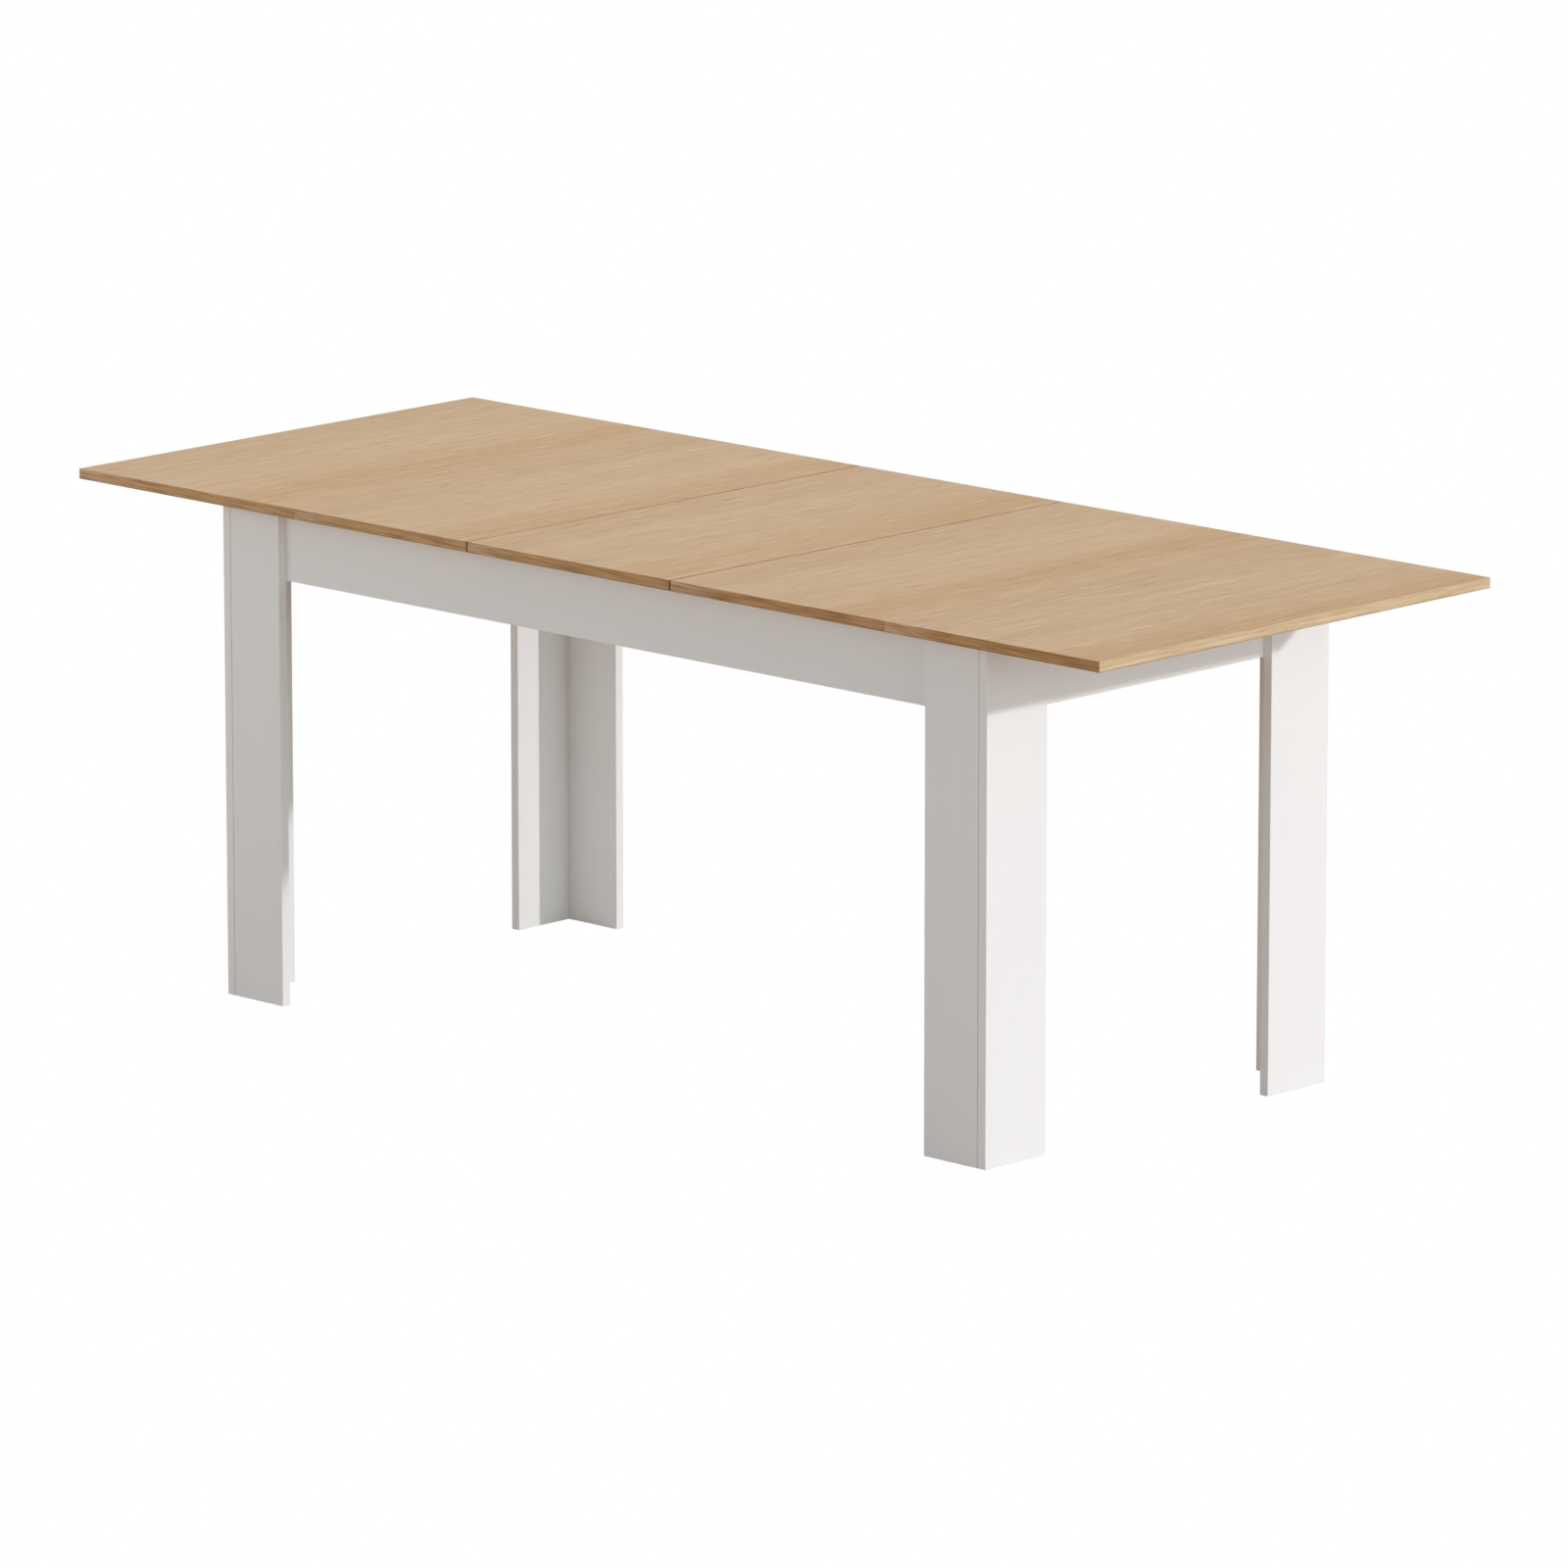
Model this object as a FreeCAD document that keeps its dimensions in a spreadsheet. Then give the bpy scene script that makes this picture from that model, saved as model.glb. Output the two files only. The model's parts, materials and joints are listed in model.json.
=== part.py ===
"""An extending dining table: two half tops on ball-bearing runners, a lift-out centre leaf and a panel frame.

The table is drawn with its leaf in. X runs along the length, Y across it and Z up; the origin is on the floor
under the middle of the top. All lengths are in millimetres and come from the sheet called Sizes.
"""
import FreeCAD, Part
import os
import re

import Sketcher

# --- driving dimensions: alias, value, meaning -------------------------------------------------------------------
SIZES = (
    ("closed_length", 1600, "length of the top with the leaf out"),
    ("top_width", 800, "width of the top"),
    ("table_height", 750, "floor to the top's upper face"),
    ("top_board", 15, "thickness of the half tops and the leaf"),
    ("leaf_space", 400, "distance between the half tops with the leaf in"),
    ("seam", 1.5, "gap on each side of the leaf"),
    ("band", 1, "thickness of the plastic edge bands round the top boards"),
    ("band_round", 0.6, "rounding of the bands' outer edges"),
    ("frame_length", 1500, "length over the outer faces of the legs"),
    ("frame_width", 700, "width over the outer faces of the legs"),
    ("board", 15, "thickness of the leg boards, aprons and cross rail"),
    ("board_round", 0.6, "rounding of the white boards' edges"),
    ("leg_end_width", 120, "width of the leg board that faces the end of the table"),
    ("leg_side_width", 100, "width of the leg board that faces the side of the table"),
    ("slide_gap", 1, "gap between the frame and the half tops that slide over it"),
    ("apron_height", 109, "height of the aprons"),
    ("rail_height", 80, "height of the cross rail"),
    ("dowel_radius", 4, "leg dowels"),
    ("dowel_length", 30, "leg dowels"),
    ("dowel_in_face", 10, "depth of a dowel in the face of the leg's end board"),
    ("dowel_low", 60, "height of the lowest leg dowel"),
    ("dowel_pitch", 300, "distance between leg dowels"),
    ("bolt_radius", 3, "M6 leg bolts"),
    ("bolt_play", 0.2, "radial play of a bolt or screw in a clearance hole"),
    ("bolt_head_radius", 7, "leg bolts"),
    ("bolt_head_height", 4, "leg bolts"),
    ("socket_radius", 2.3, "hexagon sockets of the leg bolts, across the corners"),
    ("socket_depth", 2.5, "hexagon sockets of the leg bolts"),
    ("bolt_low", 25, "apron's lower edge to the lower leg bolt"),
    ("bolt_pitch", 60, "lower leg bolt to the upper leg bolt"),
    ("bolt_inset", 45, "inner corner of the frame to the leg bolts"),
    ("insert_radius", 4.5, "threaded inserts in the leg boards"),
    ("insert_length", 11, "threaded inserts in the leg boards"),
    ("bracket_reach", 80, "length of each flange of a corner bracket"),
    ("bracket_height", 95, "height of a corner bracket"),
    ("bracket_sheet", 2, "sheet of the corner brackets"),
    ("bracket_low", 5, "apron's lower edge to the bracket's lower edge"),
    ("bracket_bend", 3, "outer bend radius of a corner bracket"),
    ("cam_radius", 7.5, "cam housings in the cross rail"),
    ("cam_depth", 12, "cam housings in the cross rail"),
    ("cam_inset", 24, "end of the cross rail to the cam's centre"),
    ("cam_bolt_radius", 3, "smooth part of the cam bolts"),
    ("cam_thread_radius", 2.5, "thread of the cam bolts in the apron"),
    ("cam_thread_length", 11, "thread of the cam bolts in the apron"),
    ("cam_low", 20, "rail's lower edge to the lower cam"),
    ("cam_pitch", 40, "lower cam to the upper cam"),
    ("runner_length", 450, "length of every runner member"),
    ("runner_start", 30, "middle of the table to the fixed member"),
    ("runner_height", 45, "height of the fixed member"),
    ("runner_depth", 12.5, "depth of the fixed member"),
    ("runner_sheet", 1.2, "sheet of the runner members"),
    ("runner_lip", 2.4, "return lip of the fixed member"),
    ("runner_axis", 687, "height of the runners' middle line"),
    ("runner_out", 190, "how far the inner member stands out of the fixed one with the leaf in"),
    ("middle_back", 3.4, "apron to the back of the middle member"),
    ("middle_front", 12, "apron to the front of the middle member"),
    ("inner_back", 6, "apron to the back edge of the inner member's flanges"),
    ("inner_front", 12.8, "apron to the face of the inner member that carries the top"),
    ("ball_radius", 1.6, "balls of the runners"),
    ("ball_play", 0.2, "gap between a ball and each race"),
    ("ball_line", 8, "apron to the balls' centre line"),
    ("ball_pitch", 16, "distance between balls"),
    ("ball_first", 8, "end of a cage to its first ball"),
    ("cage_length", 96, "ball cages"),
    ("cage_width", 5, "ball cages"),
    ("cage_sheet", 0.6, "ball cages"),
    ("cage_start", 207, "middle of the table to a cage with the top closed"),
    ("screw_radius", 2, "screws and rivets"),
    ("screw_head_radius", 3.6, "screws and rivets"),
    ("screw_head_height", 2, "screws under the top"),
    ("recess_length", 3.6, "cross recesses in the screw heads"),
    ("recess_width", 0.8, "cross recesses in the screw heads"),
    ("screw_bite", 11, "depth of a screw in a top board"),
    ("low_head_height", 1.1, "screws and rivets inside the runners"),
    ("fixing_bite", 12, "depth of a runner's screw in the apron"),
    ("fixing_first", 35, "end of a runner member to its first hole"),
    ("fixing_pitch", 190, "distance between a runner member's holes"),
    ("carrier_height", 73, "steel angles, upright flange"),
    ("carrier_flange", 32, "steel angles, level flange"),
    ("carrier_sheet", 2, "steel angles"),
    ("carrier_start", 20, "inner edge of a half top to its steel angles"),
    ("carrier_hole_line", 18, "face of a steel angle to its line of screws"),
    ("carrier_first", 30, "end of a steel angle to its first screw"),
    ("carrier_pitch", 130, "distance between a steel angle's screws"),
    ("plate_length", 90, "leaf plates, along the table"),
    ("plate_width", 60, "leaf plates, across the table"),
    ("plate_sheet", 2, "leaf plates"),
    ("plate_corner", 6, "corner radius of the leaf plates"),
    ("plate_reach", 30, "part of a leaf plate that stands out under the leaf"),
    ("plate_screw_in", 35, "inner edge of a half top to the plate's screws"),
    ("plate_screw_half", 15, "middle of a leaf plate to each of its screws"),
    ("plate_far", 200, "middle of the table to the outer leaf plate of each half"),
    ("plate_near", 100, "middle of the table to the inner leaf plate of each half"),
    ("batten_width", 40, "leaf battens"),
    ("batten_height", 20, "leaf battens"),
    ("batten_length", 500, "leaf battens"),
    ("batten_line", 120, "middle of the table to the middle of a leaf batten"),
    ("batten_first", 40, "end of a leaf batten to its first screw"),
    ("batten_pitch", 140, "distance between a leaf batten's screws"),
    ("pad_sheet", 0.7, "felt pads on the frame"),
    ("pad_width", 12, "felt pads on the frame"),
    ("pad_length", 40, "felt pads on the frame"),
    ("pad_on_side", 260, "middle of the table to the pads on the long aprons"),
    ("pad_on_end", 150, "middle of the table to the pads on the end aprons"),
    ("buffer_radius", 8, "rubber stop buffers"),
    ("buffer_length", 17.5, "rubber stop buffers"),
    ("buffer_line", 306, "middle of the table to the buffers, across"),
    ("buffer_height", 695, "floor to the buffers' centres"),
)

LEG_DOWELS = 3
BOLTS_PER_FLANGE = 2
CAMS_PER_END = 2
FIXINGS_PER_RUNNER = 3
SCREWS_PER_CARRIER = 4
SCREWS_PER_BATTEN = 4
BALLS_PER_ROW = 6

# Each side of the table as its name and its sign along the axis that it lies on.
ENDS = (("left", -1), ("right", 1))
SIDES = (("front", -1), ("back", 1))
Z_AXIS = FreeCAD.Vector(0, 0, 1)
NO_TURN = FreeCAD.Rotation()
# Coordinates closer than this are the same place.
TOUCH = 1e-4

doc = FreeCAD.newDocument("ExtendingTable")
sheet = doc.addObject("Spreadsheet::Sheet", "Sizes")
for line, (alias, value, meaning) in enumerate(SIZES, start=1):
    sheet.set(f"A{line}", meaning)
    sheet.set(f"B{line}", str(value))
    sheet.setAlias(f"B{line}", alias)
doc.recompute()

subparts = []


# --- helpers -----------------------------------------------------------------------------------------------------
def cells(expression):
    """The expression with every alias in it written as its cell of the sheet."""
    return re.sub(r"[a-z][a-z_]*", lambda word: "Sizes." + word.group(), expression)


def measure(expression):
    """The value of an expression over the sheet's aliases."""
    return float(sheet.evalExpression(cells(expression)))


def bind(feature, name, expression):
    """Bind one property of a feature to an expression over the sheet's aliases."""
    feature.setExpression(name, cells(expression))


def place(feature, at, turn=NO_TURN):
    """Put a feature's own origin at three bound coordinates, turned as given."""
    feature.Placement = FreeCAD.Placement(FreeCAD.Vector(), turn)
    for axis, expression in zip("xyz", at):
        bind(feature, f"Placement.Base.{axis}", expression)
    return feature


def finish(feature, label):
    """Name a finished sub-part and list it for export."""
    feature.Label = label
    subparts.append(feature)
    return feature


def low_edge(sign, outer, width):
    """Lower coordinate of something whose outer face is at distance outer on the side of the sign."""
    return f"-({outer})" if sign < 0 else f"{outer} - ({width})"


def from_outer(sign, width, inset):
    """Coordinate, in a board's own frame, of a point that lies inset from the board's outer face."""
    return inset if sign < 0 else f"{width} - ({inset})"


def is_upright(edge):
    """True for a straight edge that runs along Z."""
    box = edge.BoundBox
    return box.ZLength > TOUCH and box.XLength < TOUCH and box.YLength < TOUCH


def origin_plane(body, role):
    """One of a body's own origin planes."""
    return next(item for item in body.Origin.OriginFeatures if item.Role == role)


def add_sketch(body, name, role, offset="0"):
    """A sketch on one of the body's origin planes, moved off it along its normal."""
    sketch = body.newObject("Sketcher::SketchObject", name)
    sketch.AttachmentSupport = [(origin_plane(body, role), "")]
    sketch.MapMode = "FlatFace"
    bind(sketch, "AttachmentOffset.Base.z", offset)
    return sketch


def name_size(sketch, index, name, expression):
    """Name a sketch's constraint and bind it."""
    sketch.renameConstraint(index, name)
    bind(sketch, f"Constraints.{name}", expression)


def draw_steps(sketch, steps):
    """A closed outline of level and upright edges from the sketch's origin; the last two edges close it."""
    corners = [FreeCAD.Vector()]
    for direction, length in steps:
        step = FreeCAD.Vector(1, 0, 0) if direction.endswith("x") else FreeCAD.Vector(0, 1, 0)
        sign = -1 if direction.startswith("-") else 1
        corners.append(corners[-1] + step * sign * measure(length))
    last_is_level = steps[-1][0].endswith("x")
    corners.append(FreeCAD.Vector(corners[-1].x, 0, 0) if last_is_level else FreeCAD.Vector(0, corners[-1].y, 0))
    count = len(corners)
    for index in range(count):
        sketch.addGeometry(Part.LineSegment(corners[index], corners[(index + 1) % count]), False)
    first_is_level = steps[0][0].endswith("x")
    for index in range(count):
        sketch.addConstraint(Sketcher.Constraint("Coincident", index, 2, (index + 1) % count, 1))
        level = (index % 2 == 0) == first_is_level
        sketch.addConstraint(Sketcher.Constraint("Horizontal" if level else "Vertical", index))
    sketch.addConstraint(Sketcher.Constraint("Coincident", 0, 1, -1, 1))
    for index, (direction, length) in enumerate(steps):
        number = sketch.addConstraint(Sketcher.Constraint("Distance", index, measure(length)))
        name_size(sketch, number, f"edge_{index}", length)


def add_pad(body, sketch, length):
    """A pad of the sketch along its plane's normal."""
    pad = body.newObject("PartDesign::Pad", f"{body.Name}_pad")
    pad.Profile = sketch
    bind(pad, "Length", length)
    doc.recompute()
    return pad


def round_edges(body, base, radius, chosen=lambda edge: True):
    """Round the chosen edges of the base feature."""
    names = [f"Edge{number}" for number, edge in enumerate(base.Shape.Edges, start=1) if chosen(edge)]
    fillet = body.newObject("PartDesign::Fillet", f"{body.Name}_rounding")
    fillet.Base = (base, names)
    bind(fillet, "Radius", radius)
    doc.recompute()
    return fillet


def drill(body, role, offset, spots, radius, depth, reverse=False):
    """Round holes from one plane of the body; reverse drills along the plane's normal instead of against it."""
    before = body.Shape.Volume
    sketch = add_sketch(body, f"{body.Name}_holes", role, offset)
    for index, (across, up) in enumerate(spots):
        centre = FreeCAD.Vector(measure(across), measure(up), 0)
        sketch.addGeometry(Part.Circle(centre, Z_AXIS, measure(radius)), False)
        for kind, name, value in (("DistanceX", "across", across), ("DistanceY", "up", up)):
            number = sketch.addConstraint(Sketcher.Constraint(kind, -1, 1, index, 3, measure(value)))
            name_size(sketch, number, f"{name}_{index}", value)
        number = sketch.addConstraint(Sketcher.Constraint("Radius", index, measure(radius)))
        name_size(sketch, number, f"radius_{index}", radius)
    pocket = body.newObject("PartDesign::Pocket", f"{body.Name}_drilling")
    pocket.Profile = sketch
    pocket.Reversed = reverse
    bind(pocket, "Length", depth)
    doc.recompute()
    if not body.Shape.Volume < before:
        raise RuntimeError(f"{body.Name}: the holes cut nothing")
    return pocket


def add_board(label, at, size, rounding=None):
    """A board: a rectangle on the ground plane, padded to its height, with its twelve edges rounded."""
    body = doc.addObject("PartDesign::Body", label)
    sketch = add_sketch(body, f"{label}_outline", "XY_Plane")
    draw_steps(sketch, (("x", size[0]), ("y", size[1])))
    pad = add_pad(body, sketch, size[2])
    if rounding:
        round_edges(body, pad, rounding)
    place(body, at)
    return finish(body, label)


def add_profile(label, steps, length, bend, is_bend):
    """A folded sheet profile along X, drawn in the YZ plane; is_bend picks the corners to round by their Y and Z."""
    body = doc.addObject("PartDesign::Body", label)
    sketch = add_sketch(body, f"{label}_section", "YZ_Plane")
    draw_steps(sketch, steps)
    pad = add_pad(body, sketch, length)

    def chosen(edge):
        box = edge.BoundBox
        return box.YLength < TOUCH and box.ZLength < TOUCH and is_bend(box.Center.y, box.Center.z)

    round_edges(body, pad, bend, chosen)
    return body


def add_cylinder(name, radius, height, at=("0", "0", "0"), turn=NO_TURN):
    """A round bar along its own Z."""
    bar = doc.addObject("Part::Cylinder", name)
    bind(bar, "Radius", radius)
    bind(bar, "Height", height)
    return place(bar, at, turn)


def add_box(name, size, at):
    """A plain block."""
    block = doc.addObject("Part::Box", name)
    for side, expression in zip(("Length", "Width", "Height"), size):
        bind(block, side, expression)
    return place(block, at)


def join(name, first, second):
    """Two solids as one."""
    fuse = doc.addObject("Part::Fuse", name)
    fuse.Base = first
    fuse.Tool = second
    return fuse


def cut(name, solid, tool):
    """The solid without the tool."""
    rest = doc.addObject("Part::Cut", name)
    rest.Base = solid
    rest.Tool = tool
    return rest


def add_group(label, items):
    """Separate identical pieces as one sub-part."""
    group = doc.addObject("Part::Compound", label)
    group.Links = items
    return finish(group, label)


def add_copies(label, pattern, spots):
    """Copies of one pattern piece, each at its own place and turn, as one sub-part."""
    copies = []
    for number, (at, turn) in enumerate(spots):
        copy = doc.addObject("App::Link", f"{label}_{number}")
        copy.LinkedObject = pattern
        copies.append(place(copy, at, turn))
    return add_group(label, copies)


def screw_pattern(name, radius, length, head_radius, head_height):
    """A screw or bolt whose head stands on the plane z = 0 and whose shank runs up from it."""
    shank = add_cylinder(f"{name}_shank", radius, length)
    head = add_cylinder(f"{name}_head", head_radius, head_height, ("0", "0", f"-{head_height}"))
    return join(name, shank, head)


def add_cross_recess(name, screw, head_height):
    """The screw with a cross recess, half the head deep, in its head."""
    bars = []
    for number, (length, width) in enumerate((("recess_length", "recess_width"), ("recess_width", "recess_length"))):
        bars.append(add_box(f"{name}_bar_{number}", (length, width, f"{head_height} / 2"),
                            (f"-{length} / 2", f"-{width} / 2", f"-{head_height}")))
    return cut(f"{name}_recessed", screw, join(f"{name}_cross", bars[0], bars[1]))


def add_hexagon_socket(name, bolt):
    """The bolt with a hexagon socket in its head."""
    socket = doc.addObject("Part::Prism", f"{name}_socket")
    socket.Polygon = 6
    bind(socket, "Circumradius", "socket_radius")
    bind(socket, "Height", "socket_depth")
    place(socket, ("0", "0", "-bolt_head_height"))
    return cut(f"{name}_socketed", bolt, socket)


# Turns that send a pattern's own +Z along each direction of the table.
TOWARDS = {
    ("x", 1): FreeCAD.Rotation(FreeCAD.Vector(0, 1, 0), 90),
    ("x", -1): FreeCAD.Rotation(FreeCAD.Vector(0, 1, 0), -90),
    ("y", 1): FreeCAD.Rotation(FreeCAD.Vector(1, 0, 0), -90),
    ("y", -1): FreeCAD.Rotation(FreeCAD.Vector(1, 0, 0), 90),
    ("z", 1): NO_TURN,
}


def signed(sign, expression):
    """The expression on the side of the sign."""
    return f"-({expression})" if sign < 0 else expression


def row(first, pitch, count):
    """Evenly spaced positions."""
    return [f"{first} + {number} * {pitch}" for number in range(count)]


# --- levels and lines that several pieces share ------------------------------------------------------------------
TOP_UNDERSIDE = "table_height - top_board"
FRAME_TOP = f"{TOP_UNDERSIDE} - slide_gap"
APRON_BOTTOM = f"{FRAME_TOP} - apron_height"
APRON_FACE = "frame_width / 2 - 2 * board"
APRON_LENGTH = "frame_length - 2 * board"
INNER_END = "frame_length / 2 - 2 * board"
BOLT_HEIGHTS = [f"{APRON_BOTTOM} + {offset}" for offset in row("bolt_low", "bolt_pitch", BOLTS_PER_FLANGE)]
CAM_HEIGHTS = [f"{APRON_BOTTOM} + {offset}" for offset in row("cam_low", "cam_pitch", CAMS_PER_END)]
DOWEL_HEIGHTS = row("dowel_low", "dowel_pitch", LEG_DOWELS)


# --- frame -------------------------------------------------------------------------------------------------------
def make_leg(end, end_sign, side, side_sign):
    """One corner leg: the end board runs to the corner and the side board butts against its inner face."""
    end_board = add_board(
        f"leg_end_board_{side}_{end}",
        (low_edge(end_sign, "frame_length / 2", "board"),
         low_edge(side_sign, "frame_width / 2", "leg_end_width"), "0"),
        ("board", "leg_end_width", FRAME_TOP), "board_round")
    inner_plane = from_outer(end_sign, "board", "board")
    outwards = end_sign > 0
    dowel_line = from_outer(side_sign, "leg_end_width", "board / 2")
    bolt_line = from_outer(side_sign, "leg_end_width", "2 * board + bolt_inset")
    drill(end_board, "YZ_Plane", inner_plane, [(dowel_line, height) for height in DOWEL_HEIGHTS],
          "dowel_radius", "dowel_in_face", outwards)
    drill(end_board, "YZ_Plane", inner_plane, [(bolt_line, height) for height in BOLT_HEIGHTS],
          "insert_radius", "insert_length", outwards)

    side_board = add_board(
        f"leg_side_board_{side}_{end}",
        (low_edge(end_sign, "frame_length / 2 - board", "leg_side_width"),
         low_edge(side_sign, "frame_width / 2", "board"), "0"),
        ("leg_side_width", "board", FRAME_TOP), "board_round")
    outer_plane = from_outer(end_sign, "leg_side_width", "0")
    bolt_line = from_outer(end_sign, "leg_side_width", "board + bolt_inset")
    drill(side_board, "YZ_Plane", outer_plane, [("board / 2", height) for height in DOWEL_HEIGHTS],
          "dowel_radius", "dowel_length - dowel_in_face", not outwards)
    # The XZ plane's normal points along -Y.
    drill(side_board, "XZ_Plane", f"-({from_outer(side_sign, 'board', 'board')})",
          [(bolt_line, height) for height in BOLT_HEIGHTS], "insert_radius", "insert_length", side_sign < 0)


def make_long_apron(side, side_sign):
    """A long apron, drilled for the leg bolts, the cross rail and two runners."""
    apron = add_board(
        f"apron_{side}",
        (f"-({APRON_LENGTH}) / 2", low_edge(side_sign, "frame_width / 2 - board", "board"), APRON_BOTTOM),
        (APRON_LENGTH, "board", "apron_height"), "board_round")
    middle = f"({APRON_LENGTH}) / 2"
    inner_plane = f"-({from_outer(side_sign, 'board', 'board')})"
    outwards = side_sign < 0
    bolt_spots = [(f"{middle} + {signed(sign, f'({INNER_END} - bolt_inset)')}", height)
                  for _, sign in ENDS for height in row("bolt_low", "bolt_pitch", BOLTS_PER_FLANGE)]
    cam_spots = [(middle, height) for height in row("cam_low", "cam_pitch", CAMS_PER_END)]
    runner_spots = [(f"{middle} + {signed(sign, f'(runner_start + {offset})')}", f"runner_axis - ({APRON_BOTTOM})")
                    for _, sign in ENDS for offset in row("fixing_first", "fixing_pitch", FIXINGS_PER_RUNNER)]
    drill(apron, "XZ_Plane", inner_plane, bolt_spots, "bolt_radius + bolt_play", "board", outwards)
    drill(apron, "XZ_Plane", inner_plane, cam_spots, "cam_thread_radius", "cam_thread_length", outwards)
    drill(apron, "XZ_Plane", inner_plane, runner_spots, "screw_radius", "fixing_bite", outwards)


def make_end_apron(end, end_sign):
    """An end apron between the long ones, drilled for the leg bolts."""
    apron = add_board(
        f"apron_{end}",
        (low_edge(end_sign, "frame_length / 2 - board", "board"), f"-({APRON_FACE})", APRON_BOTTOM),
        ("board", f"2 * ({APRON_FACE})", "apron_height"), "board_round")
    inner_plane = from_outer(end_sign, "board", "board")
    spots = [(f"{APRON_FACE} + {signed(sign, f'({APRON_FACE} - bolt_inset)')}", height)
             for _, sign in SIDES for height in row("bolt_low", "bolt_pitch", BOLTS_PER_FLANGE)]
    drill(apron, "YZ_Plane", inner_plane, spots, "bolt_radius + bolt_play", "board", end_sign > 0)


def make_cross_rail():
    """The rail across the middle of the frame, held to the long aprons by cams."""
    rail = add_board("cross_rail", ("-board / 2", f"-({APRON_FACE})", APRON_BOTTOM),
                     ("board", f"2 * ({APRON_FACE})", "rail_height"), "board_round")
    heights = row("cam_low", "cam_pitch", CAMS_PER_END)
    lines = ["cam_inset", f"2 * ({APRON_FACE}) - cam_inset"]
    drill(rail, "YZ_Plane", "0", [(line, height) for line in lines for height in heights],
          "cam_radius", "cam_depth", True)
    bores = [("board / 2", height) for height in heights]
    drill(rail, "XZ_Plane", "0", bores, "cam_bolt_radius", "cam_inset", False)
    drill(rail, "XZ_Plane", f"-2 * ({APRON_FACE})", bores, "cam_bolt_radius", "cam_inset", True)

    barrel = add_cylinder("cam_barrel", "cam_radius", "cam_depth")
    mouth = add_cylinder("cam_mouth", "cam_bolt_radius + bolt_play", "cam_radius + cam_bolt_radius",
                         ("0", "-cam_bolt_radius", "cam_depth - board / 2"), TOWARDS["y", 1])
    slot = add_box("cam_slot", ("cam_radius", "cam_bolt_radius / 2", "cam_bolt_radius / 2"),
                   ("-cam_radius / 2", "-cam_bolt_radius / 4", "cam_depth - cam_bolt_radius / 2"))
    cam = cut("cam_slotted", cut("cam_hollow", barrel, mouth), slot)
    thread = add_cylinder("cam_thread", "cam_thread_radius", "cam_thread_length", ("0", "0", "-cam_thread_length"))
    cam_bolt = join("cam_bolt", add_cylinder("cam_pin", "cam_bolt_radius", "cam_inset"), thread)

    # A cam's mouth looks along its own +Y; the barrel's face looks along -X.
    face_left = {-1: FreeCAD.Rotation(FreeCAD.Vector(0, 0, -1), FreeCAD.Vector(0, -1, 0), FreeCAD.Vector(-1, 0, 0)),
                 1: FreeCAD.Rotation(FreeCAD.Vector(0, 0, 1), FreeCAD.Vector(0, 1, 0), FreeCAD.Vector(-1, 0, 0))}
    cam_spots = []
    bolt_spots = []
    for _, sign in SIDES:
        for height in CAM_HEIGHTS:
            cam_spots.append((("cam_depth - board / 2", signed(sign, f"{APRON_FACE} - cam_inset"), height),
                              face_left[sign]))
            bolt_spots.append((("0", signed(sign, APRON_FACE), height), TOWARDS["y", -sign]))
    add_copies("rail_cams", cam, cam_spots)
    add_copies("rail_cam_bolts", cam_bolt, bolt_spots)


def make_corner_bracket(label, at, turn):
    """A folded steel corner: two equal flanges along +X and +Y from the corner, bored for the leg bolts."""
    body = doc.addObject("PartDesign::Body", label)
    sketch = add_sketch(body, f"{label}_outline", "XY_Plane")
    draw_steps(sketch, (("x", "bracket_reach"), ("y", "bracket_sheet"), ("-x", "bracket_reach - bracket_sheet"),
                        ("y", "bracket_reach - bracket_sheet")))
    pad = add_pad(body, sketch, "bracket_height")
    round_edges(body, pad, "bracket_bend", lambda edge: is_upright(edge) and edge.BoundBox.Center.x < TOUCH
                and edge.BoundBox.Center.y < TOUCH)
    spots = [("bolt_inset", f"{offset} - bracket_low") for offset in row("bolt_low", "bolt_pitch", BOLTS_PER_FLANGE)]
    drill(body, "YZ_Plane", "0", spots, "bolt_radius + bolt_play", "bracket_sheet", True)
    drill(body, "XZ_Plane", "0", spots, "bolt_radius + bolt_play", "bracket_sheet", False)
    place(body, at, turn)
    return finish(body, label)


def make_corner_brackets():
    """The four corner brackets; a quarter turn takes each to the next."""
    corners = (("front_left", -1, -1, 0), ("front_right", 1, -1, 90), ("back_right", 1, 1, 180),
               ("back_left", -1, 1, 270))
    for corner, end_sign, side_sign, angle in corners:
        make_corner_bracket(f"corner_bracket_{corner}",
                            (signed(end_sign, INNER_END), signed(side_sign, APRON_FACE),
                             f"{APRON_BOTTOM} + bracket_low"),
                            FreeCAD.Rotation(Z_AXIS, angle))


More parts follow.
